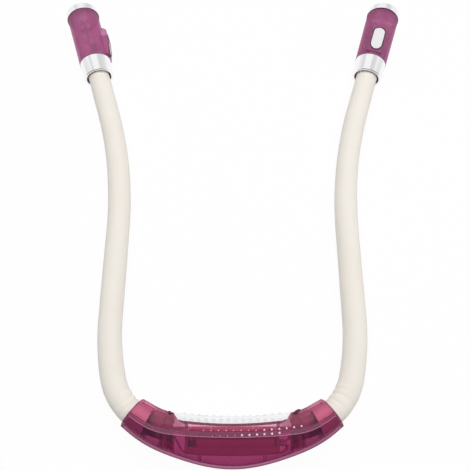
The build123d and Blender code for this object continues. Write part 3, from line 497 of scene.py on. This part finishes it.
def see_through(name, body, clear, edge, solid, gloss_roughness, face_shine, edge_shine):
    """Tinted plastic: a pigment that scatters, a tint that lets the inside show and is deeper where the
    wall is seen along its length, and a gloss."""
    material = make_material(name, body, Roughness=0.5, Specular_IOR_Level=0.0)
    facing = add_node(material, "ShaderNodeLayerWeight", Blend=0.5)
    slanting = add_node(material, "ShaderNodeMath", operation="POWER")
    slanting.inputs[1].default_value = SLANT_POWER
    depth = add_node(material, "ShaderNodeMix", data_type="RGBA", A=(*clear, 1), B=(*edge, 1))
    tint = add_node(material, "ShaderNodeBsdfTransparent")
    pigment = add_node(material, "ShaderNodeMixShader", Fac=solid)
    pigment.name = "pigment_share"
    grazing = add_node(material, "ShaderNodeMath", operation="POWER")
    grazing.inputs[1].default_value = GRAZING_POWER
    shine = add_node(material, "ShaderNodeMath", operation="MULTIPLY_ADD")
    shine.inputs[1].default_value = edge_shine
    shine.inputs[2].default_value = face_shine
    gloss = add_node(material, "ShaderNodeBsdfAnisotropic", Color=(1, 1, 1, 1), Roughness=gloss_roughness)
    coated = add_node(material, "ShaderNodeMixShader")
    link(material, facing, "Facing", slanting, 0)
    link(material, slanting, 0, depth, 0)
    link(material, depth, "Result", tint, "Color")
    link(material, tint, "BSDF", pigment, 1)
    link(material, shader_of(material), "BSDF", pigment, 2)
    link(material, facing, "Facing", grazing, 0)
    link(material, grazing, 0, shine, 0)
    link(material, shine, 0, coated, 0)
    link(material, pigment, 0, coated, 1)
    link(material, gloss, "BSDF", coated, 2)
    show(material, coated, 0)
    return material


shell_purple = see_through(
    "shell_purple",
    body=(0.28, 0.03, 0.14),
    clear=(0.84, 0.485, 0.67),
    edge=(0.30, 0.06, 0.17),
    solid=0.14,
    gloss_roughness=0.10,
    face_shine=0.04,
    edge_shine=0.03,
)
mottle(shell_purple, 45, 3, (0.22, 0.025, 0.11), (0.30, 0.035, 0.15))
roughen(shell_purple, 260, 2, 0.05, 0.0003)
dress(shell_purple, "outer_shell")
shell_pink = see_through(
    "shell_pink",
    body=(0.36, 0.05, 0.13),
    clear=(0.995, 0.68, 0.82),
    edge=(0.60, 0.19, 0.34),
    solid=0.18,
    gloss_roughness=0.10,
    face_shine=0.04,
    edge_shine=0.03,
)
mottle(shell_pink, 45, 3, (0.33, 0.04, 0.11), (0.40, 0.06, 0.15))
roughen(shell_pink, 260, 2, 0.05, 0.0003)
pink_place = add_node(shell_pink, "ShaderNodeTexCoord")
pink_axes = add_node(shell_pink, "ShaderNodeSeparateXYZ")
pink_side = add_node(shell_pink, "ShaderNodeMath", operation="ABSOLUTE")
shoulders = add_ramp(shell_pink, *((place, grey(share)) for place, share in SHOULDER_PIGMENT))
link(shell_pink, pink_place, "Object", pink_axes, 0)
link(shell_pink, pink_axes, "X", pink_side, 0)
link(shell_pink, pink_side, 0, shoulders, "Fac")
link(shell_pink, shoulders, "Color", shell_pink.node_tree.nodes["pigment_share"], 0)
dress(shell_pink, "inner_shell")

# Lap of the shells: a flat raised lip, moulded on the outer shell along the top of the housing from mouth
# to mouth, with a thin dark line of painted shade in the groove on its neck side and a pale bead of
# painted highlight along its edge on the other.
LIP_WIDTH = 0.0033
LIP_TAPER = 0.25
LIP_HEIGHT = 0.00012
LIP_INSET = 0.0001
LIP_HALF_LENGTH = 0.0590
LIP_STEPS = 170
LIP_ROWS = 4
SHADE_LINE_RADIUS = 0.00016
HIGHLIGHT_BEAD_RADIUS = 0.00020
TUBE_SIDES = 8
TUBE_STEEP = 0.9
LAP_SEARCH_STEP = 0.0001
LAP_SEARCH_SLOPE = 0.2
LAP_STRAIGHT_HALF = 0.055
SKIN_LOWEST_SHARE = 0.45


def tree_of(*names):
    """Search tree over the surfaces of CAD nodes."""
    shells = bmesh.new()
    for name in names:
        shells.from_mesh(nodes[name].data)
    tree = BVHTree.FromBMesh(shells)
    shells.free()
    return tree


outer_tree = tree_of("outer_shell")
both_tree = tree_of("outer_shell", "inner_shell")
shell_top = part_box("outer_shell")[1][2]


def top_at(tree, x, y):
    """The upper skin there, or None past its edge."""
    place = tree.ray_cast(Vector((x, y, 2 * shell_top)), Vector((0, 0, -1)))[0]
    return place if place is not None and place.z > shell_top * SKIN_LOWEST_SHARE else None


def lap_edge(x):
    """Y of the outer shell's edge on the top of the housing."""
    y = LAP_SEARCH_SLOPE * abs(x) if abs(x) > LAP_STRAIGHT_HALF else 0
    while top_at(outer_tree, x, y + LAP_SEARCH_STEP) is not None:
        y += LAP_SEARCH_STEP
    return y


def tube_along(name, line, radius, material, closed):
    """A thin round bead along a line of points, its ends shut or joined."""
    mesh = bmesh.new()
    count = len(line)
    rings = []
    for index, spot in enumerate(line):
        after = line[(index + 1) % count] if closed else line[min(index + 1, count - 1)]
        before = line[index - 1] if closed else line[max(index - 1, 0)]
        along = (after - before).normalized()
        across = along.cross(Vector((0, 0, 1))).normalized()
        if abs(along.z) > TUBE_STEEP:
            across = along.orthogonal().normalized()
        upward = across.cross(along)
        ring = []
        for corner in range(TUBE_SIDES):
            angle = 2 * math.pi * corner / TUBE_SIDES
            reach = across * math.cos(angle) + upward * math.sin(angle)
            ring.append(mesh.verts.new(spot + radius * reach))
        rings.append(ring)
    skin_rings(mesh, rings, closed)
    for face in mesh.faces:
        face.smooth = len(face.verts) == 4
    return piece_from(mesh, name, material)


lip_pink = see_through(
    "lip_pink",
    body=(0.80, 0.30, 0.48),
    clear=(0.98, 0.80, 0.90),
    edge=(0.85, 0.50, 0.66),
    solid=0.17,
    gloss_roughness=0.10,
    face_shine=0.04,
    edge_shine=0.03,
)
mottle(lip_pink, 140, 3, (0.70, 0.22, 0.38), (0.82, 0.30, 0.47))
# Painted shade: a dark material for the thin lines laid where the lap's groove and the housing's mouths
# lie in shade.
painted_shade_line = make_material("painted_shade_line", (0.13, 0.02, 0.06), Roughness=0.4)
roughen(painted_shade_line, 600, 1, 0.05, 0.0001)
# Painted highlight: a pale material for the bead that stands for the light caught by the edge of the lap.
painted_highlight_pale = make_material("painted_highlight_pale", (0.50, 0.20, 0.33), Roughness=0.2)
roughen(painted_highlight_pale, 600, 1, 0.05, 0.0001)
lip_spots = []
for index in range(LIP_STEPS + 1):
    x = LIP_HALF_LENGTH * (2 * index / LIP_STEPS - 1)
    edge = lap_edge(x)
    width = LIP_WIDTH * (1 - LIP_TAPER * abs(x) / LIP_HALF_LENGTH)
    depths = [width * row / (LIP_ROWS - 1) + LIP_INSET for row in range(LIP_ROWS)]
    spots = [top_at(outer_tree, x, edge - depth) for depth in depths]
    if None not in spots:
        lip_spots.append(spots)
lip_mesh = bmesh.new()
lip_rings = []
for spots in lip_spots:
    over = [lip_mesh.verts.new(spot + Vector((0, 0, LIP_HEIGHT))) for spot in spots]
    under = [lip_mesh.verts.new(spot - Vector((0, 0, LIP_HEIGHT))) for spot in reversed(spots)]
    lip_rings.append(over + under)
skin_rings(lip_mesh, lip_rings)
lap_lip = piece_from(lip_mesh, "lap_lip", lip_pink)
neck_side = [spots[0] for spots in lip_spots]
far_side = [spots[-1] for spots in lip_spots]
# The line on the neck side is painted shade in the groove; the bead on the far side is a painted
# highlight.
lap_shade_line = tube_along("lap_shade_line", neck_side, SHADE_LINE_RADIUS, painted_shade_line, False)
lap_highlight_bead = tube_along("lap_highlight_bead", far_side, HIGHLIGHT_BEAD_RADIUS, painted_highlight_pale, False)
for trim in (lap_lip, lap_shade_line, lap_highlight_bead):
    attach(trim, "housing")

# Lap dots: two rows of small pale dots beside and on the lap lip, painted highlights that stand for the
# reflections of the cushion's nubs in the glossy shell. In each row a stretch of small dots is followed by
# a stretch of larger ones.
DOT_RADIUS = 0.00048
DOT_PITCH = 0.0042
DOT_SINK = 0.5
BUMP_SEGMENTS, BUMP_RINGS = 12, 8
DOT_STRETCHES = (
    (-0.0160, 0.0140, -0.0004, -0.0004, 0.70),
    (0.0180, 0.0400, -0.0004, -0.0009, 1.40),
    (-0.0110, 0.0015, 0.0028, 0.0024, 0.70),
    (0.0055, 0.0265, 0.0022, 0.0016, 1.60),
)


def grow_on_points(name, points, normals, sizes, material, radius, flatness):
    """A round bump on each point, made with Geometry Nodes and turned into one plain mesh."""
    seeds = bpy.data.meshes.new(f"{name}_seeds")
    seeds.from_pydata([tuple(point) for point in points], [], [])
    seeds.attributes.new("way", "FLOAT_VECTOR", "POINT")
    seeds.attributes.new("size", "FLOAT", "POINT")
    for index, (normal, size) in enumerate(zip(normals, sizes)):
        seeds.attributes["way"].data[index].vector = normal
        seeds.attributes["size"].data[index].value = size
    carrier = bpy.data.objects.new(f"{name}_carrier", seeds)
    scene.collection.objects.link(carrier)
    tree = bpy.data.node_groups.new(f"{name}_tree", "GeometryNodeTree")
    tree.interface.new_socket("Geometry", in_out="INPUT", socket_type="NodeSocketGeometry")
    tree.interface.new_socket("Geometry", in_out="OUTPUT", socket_type="NodeSocketGeometry")
    radius_socket = tree.interface.new_socket("Radius", in_out="INPUT", socket_type="NodeSocketFloat")
    flat_socket = tree.interface.new_socket("Flatness", in_out="INPUT", socket_type="NodeSocketFloat")
    enter = tree.nodes.new("NodeGroupInput")
    leave = tree.nodes.new("NodeGroupOutput")
    ball = tree.nodes.new("GeometryNodeMeshUVSphere")
    ball.inputs["Segments"].default_value = BUMP_SEGMENTS
    ball.inputs["Rings"].default_value = BUMP_RINGS
    squash = tree.nodes.new("ShaderNodeCombineXYZ")
    squash.inputs["X"].default_value = 1
    squash.inputs["Y"].default_value = 1
    own_size = tree.nodes.new("GeometryNodeInputNamedAttribute")
    own_size.data_type = "FLOAT"
    own_size.inputs["Name"].default_value = "size"
    grown_size = tree.nodes.new("ShaderNodeVectorMath")
    grown_size.operation = "SCALE"
    place = tree.nodes.new("GeometryNodeInstanceOnPoints")
    way = tree.nodes.new("GeometryNodeInputNamedAttribute")
    way.data_type = "FLOAT_VECTOR"
    way.inputs["Name"].default_value = "way"
    turn = tree.nodes.new("FunctionNodeAlignRotationToVector")
    real = tree.nodes.new("GeometryNodeRealizeInstances")
    smooth = tree.nodes.new("GeometryNodeSetShadeSmooth")
    finish = tree.nodes.new("GeometryNodeSetMaterial")
    finish.inputs["Material"].default_value = material
    for source, output, target, socket in (
        (enter, "Geometry", place, "Points"),
        (enter, "Radius", ball, "Radius"),
        (enter, "Flatness", squash, "Z"),
        (ball, "Mesh", place, "Instance"),
        (squash, "Vector", grown_size, 0),
        (own_size, "Attribute", grown_size, "Scale"),
        (grown_size, "Vector", place, "Scale"),
        (way, "Attribute", turn, "Vector"),
        (turn, "Rotation", place, "Rotation"),
        (place, "Instances", real, "Geometry"),
        (real, "Geometry", smooth, "Geometry"),
        (smooth, "Geometry", finish, "Geometry"),
        (finish, "Geometry", leave, "Geometry"),
    ):
        tree.links.new(source.outputs[output], target.inputs[socket])
    modifier = carrier.modifiers.new(name, "NODES")
    modifier.node_group = tree
    modifier[radius_socket.identifier] = radius
    modifier[flat_socket.identifier] = flatness
    bpy.context.view_layer.update()
    evaluated = carrier.evaluated_get(bpy.context.evaluated_depsgraph_get())
    mesh = bpy.data.meshes.new_from_object(evaluated)
    carrier.modifiers.remove(modifier)
    bpy.data.objects.remove(carrier)
    grown = bpy.data.objects.new(name, mesh)
    scene.collection.objects.link(grown)
    return grown


# Painted highlight: pale glossy dots in place of the nubs' reflections in the shell.
painted_glint_pale = make_material("painted_glint_pale", (0.95, 0.74, 0.84), Roughness=0.15)
roughen(painted_glint_pale, 900, 1, 0.05, 0.0001)
dot_points, dot_sizes = [], []
for begin, end, first_inside, last_inside, size in DOT_STRETCHES:
    count = round((end - begin) / DOT_PITCH)
    for index in range(count + 1):
        x = begin + index * DOT_PITCH
        inside = first_inside + (last_inside - first_inside) * index / count
        spot = top_at(both_tree, x, lap_edge(x) - inside)
        dot_points.append(spot - Vector((0, 0, DOT_RADIUS * DOT_SINK * size)))
        dot_sizes.append(size)
dot_ways = [Vector((0, 0, 1))] * len(dot_points)
lap_glints = grow_on_points("lap_glints", dot_points, dot_ways, dot_sizes, painted_glint_pale, DOT_RADIUS, 1.0)
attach(lap_glints, "housing")

# Mouth edges: a thin dark ring of painted shade laid on the rounded plastic edge of each end of the
# housing, where the foam goes in. It stands for the thin dark line that the edge, seen along its length,
# shows round the foam.
MOUTH_STATION = -0.0004
MOUTH_SEARCH = 0.03
RING_POINTS = 96
ring_angles = [2 * math.pi * index / RING_POINTS for index in range(RING_POINTS)]
for side, word in SIDES:
    hub, forward, outward = arm_frame(MOUTH_STATION, side)
    mouth_line = []
    for angle in ring_angles:
        reach = Vector((0, 0, math.sin(angle))) - outward * math.cos(angle)
        spot = both_tree.ray_cast(hub + reach * MOUTH_SEARCH, -reach)[0]
        if spot is not None and (spot - hub).dot(reach) > SLEEVE_RADIUS:
            mouth_line.append(spot)
    mouth_shade_line = tube_along(f"{word}_mouth_shade_line", mouth_line, SHADE_LINE_RADIUS, painted_shade_line, True)
    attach(mouth_shade_line, "housing")

# Housing screws: four small pan-head screws in blackened steel, driven from the neck side at the lips of
# the recess. They draw the two shells together.
screw_steel = make_material("screw_steel", (0.10, 0.09, 0.11), Metallic=0.8, Roughness=0.3)
roughen(screw_steel, 900, 2, 0.1, 0.0001)
dress(screw_steel, "housing_screws")

# Screw wells: painted shade, dark marks at the shoulders of the recess where the hollows in the inner
# shell beside the heads of the four housing screws lie in shadow. Each is a flat dome laid on the shell's
# skin.
WELL_PLACES = ((0.0372, 0.0182), (-0.0362, 0.0178))
WELL_LENGTH, WELL_WIDTH, WELL_DEPTH = 0.0026, 0.0010, 0.00030
WELL_STEP_ALONG, WELL_STEP_BACK = 0.002, -0.0012
WELL_SEGMENTS, WELL_RINGS = 24, 12
# Painted shade: a dark material for the shadowed hollows beside the screws.
painted_well_shade = make_material("painted_well_shade", (0.07, 0.015, 0.03), Roughness=0.25)
roughen(painted_well_shade, 900, 1, 0.1, 0.0001)
inner_tree = tree_of("inner_shell")
well_size = Matrix.Diagonal((WELL_LENGTH, WELL_WIDTH, WELL_DEPTH, 1))
well_mesh = bmesh.new()
for x, y in WELL_PLACES:
    for upward in (1, -1):
        start = Vector((x, y, shell_top / 2 + upward * shell_top))
        down = Vector((0, 0, -upward))
        step = Vector((-math.copysign(WELL_STEP_ALONG, x), WELL_STEP_BACK, 0))
        place, normal = inner_tree.ray_cast(start, down)[:2]
        beside = inner_tree.ray_cast(start + step, down)[0]
        along = (beside - place).normalized()
        across = normal.cross(along).normalized()
        turn = Matrix((along, across, normal)).transposed().to_4x4()
        bmesh.ops.create_uvsphere(
            well_mesh,
            u_segments=WELL_SEGMENTS,
            v_segments=WELL_RINGS,
            radius=1,
            matrix=Matrix.Translation(place) @ turn @ well_size,
        )
for face in well_mesh.faces:
    face.smooth = True
screw_well_shade = piece_from(well_mesh, "screw_well_shade", painted_well_shade)
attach(screw_well_shade, "housing")

# Battery lid: a thin see-through panel in the same magenta plastic, over the cells in the recess on the
# neck side. It pushes straight in and carries the cushion on its face.
lid_pink = see_through(
    "lid_pink",
    body=(0.50, 0.12, 0.22),
    clear=(0.99, 0.72, 0.83),
    edge=(0.90, 0.52, 0.68),
    solid=0.18,
    gloss_roughness=0.10,
    face_shine=0.04,
    edge_shine=0.03,
)
mottle(lid_pink, 60, 3, (0.46, 0.10, 0.20), (0.54, 0.14, 0.25))
roughen(lid_pink, 260, 2, 0.05, 0.0003)
dress(lid_pink, "battery_lid")

# Neck cushion: a soft pad of clear, slightly milky gel, cast with a rounded face and stuck on the lid.
# Its mesh is the cushion's own, with its corners merged.
WELD_DISTANCE = 1e-6
pad_milky = see_through(
    "pad_milky",
    body=(0.97, 0.97, 0.98),
    clear=(0.985, 0.99, 0.99),
    edge=(0.94, 0.95, 0.95),
    solid=0.95,
    gloss_roughness=0.30,
    face_shine=0.012,
    edge_shine=0.03,
)
mottle(pad_milky, 150, 3, (0.95, 0.98, 0.97), (0.98, 0.96, 0.99))
roughen(pad_milky, 1200, 2, 0.08, 0.0001)
pad_mesh = bmesh.new()
pad_mesh.from_mesh(nodes["neck_cushion"].data)
bmesh.ops.remove_doubles(pad_mesh, verts=pad_mesh.verts, dist=WELD_DISTANCE)
pad_tree = BVHTree.FromBMesh(pad_mesh)
clear_pad = piece_from(pad_mesh, "clear_pad", pad_milky)
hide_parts("neck_cushion")
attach(clear_pad, "lid")

# Cushion nubs: small round knobs cast on the pad in the same clear gel, in seven rows that wrap round its
# face, so that air passes between the neck and the pad.
NUB_RADIUS = 0.00135
NUB_FLATNESS = 0.9
NUB_SINK = 0.45
NUB_PITCH = 0.0042
NUB_ROWS = 7
NUB_HALF_TURN = math.radians(78)
NUB_SEARCH = 3
clear_gel = see_through(
    "clear_gel",
    body=(0.95, 0.95, 0.96),
    clear=(0.985, 0.99, 0.99),
    edge=(0.80, 0.84, 0.84),
    solid=0.06,
    gloss_roughness=0.30,
    face_shine=0.012,
    edge_shine=0.04,
)
mottle(clear_gel, 150, 3, (0.91, 0.95, 0.93), (0.96, 0.93, 0.97))
roughen(clear_gel, 1200, 2, 0.08, 0.0001)
pad_low, pad_high = (Vector(corner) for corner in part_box("neck_cushion"))
pad_middle = (pad_low + pad_high) / 2
pad_size = pad_high - pad_low
nub_columns = int((pad_size.x - 2 * NUB_PITCH) / NUB_PITCH) + 1
nub_points, nub_ways = [], []
for column in range(nub_columns):
    x = pad_middle.x + (column - (nub_columns - 1) / 2) * NUB_PITCH
    for row in range(NUB_ROWS):
        tilt = NUB_HALF_TURN * (2 * row / (NUB_ROWS - 1) - 1)
        look = Vector((0, -math.cos(tilt), -math.sin(tilt)))
        start = Vector((x, pad_low.y, pad_middle.z)) - look * pad_size.z * NUB_SEARCH
        place, normal = pad_tree.ray_cast(start, look)[:2]
        if place is not None:
            nub_points.append(place - normal * NUB_RADIUS * NUB_SINK)
            nub_ways.append(normal)
nub_sizes = [1.0] * len(nub_points)
pad_nubs = grow_on_points("pad_nubs", nub_points, nub_ways, nub_sizes, clear_gel, NUB_RADIUS, NUB_FLATNESS)
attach(pad_nubs, "lid")

# Circuit boards: a small pale glass-fibre board in each head, held between the halves of the barrel,
# with the switch on one face and the two lamps at its end.
board_pale = make_material("board_pale", (0.42, 0.46, 0.42), Roughness=0.35)
mottle(board_pale, 500, 2, (0.36, 0.42, 0.37), (0.47, 0.51, 0.46))
dress(board_pale, "left_circuit_board", "right_circuit_board")

# Lamps: two small domed ones in clear resin at the end of each board, on legs soldered to its faces. They
# reach into the mirror and throw their light out through the lens.
lamp_clear = see_through(
    "lamp_clear",
    body=(0.93, 0.93, 0.86),
    clear=(0.97, 0.97, 0.92),
    edge=(0.9, 0.9, 0.84),
    solid=0.3,
    gloss_roughness=0.08,
    face_shine=0.04,
    edge_shine=0.30,
)
dress(lamp_clear, "left_lamps", "right_lamps")

# Reflectors: a plastic block behind each lens, with a cup for each of the two lamps and a bright
# vacuum-plated finish.
mirror = make_material("reflector_mirror", (0.88, 0.88, 0.90), Metallic=1.0, Roughness=0.05)
roughen(mirror, 900, 1, 0.02, 0.0001)
dress(mirror, "left_reflector", "right_reflector")

# Lenses: clear acrylic discs with a slight crown that close the ends of the heads. Each is glued in a
# seat in the bezel's mouth.
lens_clear = see_through(
    "lens_clear",
    body=(0.95, 0.96, 0.97),
    clear=(0.97, 0.98, 0.98),
    edge=(0.9, 0.92, 0.92),
    solid=0.06,
    gloss_roughness=0.04,
    face_shine=0.04,
    edge_shine=0.40,
)
dress(lens_clear, "left_lens", "right_lens")

# Barrels: the see-through magenta body of each head, moulded in two halves, one with a boss for the
# button. The collar and the bezel at its ends hold the halves together.
barrel_magenta = see_through(
    "barrel_magenta",
    body=(0.50, 0.14, 0.31),
    clear=(0.93, 0.64, 0.81),
    edge=(0.80, 0.42, 0.64),
    solid=0.38,
    gloss_roughness=0.22,
    face_shine=0.04,
    edge_shine=0.12,
)
mottle(barrel_magenta, 130, 4, (0.34, 0.07, 0.20), (0.66, 0.20, 0.43))
roughen(barrel_magenta, 420, 2, 0.06, 0.0003)
for side, word in SIDES:
    dress(barrel_magenta, f"{word}_barrel_button_half", f"{word}_barrel_plain_half")

# Collars: chromed rings that cover the turning joint between the arm and the head, open at the back for
# the foam.
chrome = make_material("collar_chrome", (0.93, 0.93, 0.94), Metallic=1.0, Roughness=0.12)
roughen(chrome, 300, 2, 0.02, 0.0002)
dress(chrome, "left_collar", "right_collar")

# Bezels: satin silver rings round the lenses at the heads' ends, plated like the collars but less
# bright, with a short spigot into the barrel.
silver = make_material("bezel_silver", (0.92, 0.92, 0.94), Metallic=1.0, Roughness=0.25)
roughen(silver, 500, 2, 0.03, 0.0002)
dress(silver, "left_bezel", "right_bezel")

# Push buttons: oval caps in white plastic with a fine grain, guided in the hole of the boss. Each has a
# foot that can't pass the hole and a post down to the switch.
button_white = make_material("button_white", (0.80, 0.79, 0.80), Roughness=0.38)
roughen(button_white, 900, 2, 0.06, 0.0001)
dress(button_white, "left_push_button", "right_push_button")

# Head seams: thin dark lines of painted shade round each barrel, in the joints where the plastic meets the
# collar and the bezel, and in the gap round each button. Each is made as a fine dark ring that fills the
# joint;
# the button's follows the slope of the boss. The left head is turned, so its button faces the other arm.
UPWARD = Vector((0, 0, 1))
SEAM_RADIUS = 0.00028
SEAM_PLACES = (("collar", 0.01362, 0.01104), ("bezel", 0.05690, 0.01172))
GAP_SHADE_RADIUS = 0.00042
GAP_SHADE_OFFSET = 0.00015
BUTTON_PLACE, BUTTON_LENGTH, BUTTON_WIDTH = 0.0267, 0.0179, 0.0083
BOSS_PROFILE = ((0.0156, 0.0118), (0.0240, 0.0134), (0.0310, 0.0143), (0.0398, 0.0143))


def boss_height(station):
    """Distance of the boss's skin from the head's axis."""
    for (low, low_height), (high, high_height) in zip(BOSS_PROFILE, BOSS_PROFILE[1:]):
        if station <= high:
            return low_height + (high_height - low_height) * (station - low) / (high - low)
    return BOSS_PROFILE[-1][1]


# Painted shade: a dark material for the rings that stand for the shade in the joints and round the
# buttons.
painted_seam_shade = make_material("painted_seam_shade", (0.07, 0.015, 0.035), Roughness=0.4)
roughen(painted_seam_shade, 900, 1, 0.1, 0.0001)
half_width = BUTTON_WIDTH / 2 + GAP_SHADE_OFFSET
half_straight = (BUTTON_LENGTH - BUTTON_WIDTH) / 2
for side, word in SIDES:
    collar_mouth, forward, outward = arm_frame(ARM_LENGTH, side)
    for place_word, station, radius in SEAM_PLACES:
        circle = []
        for angle in ring_angles:
            reach = UPWARD * math.sin(angle) - outward * math.cos(angle)
            circle.append(collar_mouth + forward * station + reach * radius)
        seam = tube_along(f"{word}_{place_word}_seam", circle, SEAM_RADIUS, painted_seam_shade, True)
        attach(seam, f"{word}_head")
    button_up, button_across = (-outward, UPWARD) if word == "left" else (UPWARD, -outward)
    oval = []
    for angle in ring_angles:
        along = BUTTON_PLACE + half_width * math.cos(angle) + math.copysign(half_straight, math.cos(angle))
        spot = collar_mouth + forward * along + button_across * (half_width * math.sin(angle))
        oval.append(spot + button_up * boss_height(along))
    gap_shade = tube_along(f"{word}_button_gap_shade", oval, GAP_SHADE_RADIUS, painted_seam_shade, True)
    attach(gap_shade, f"{word}_head")
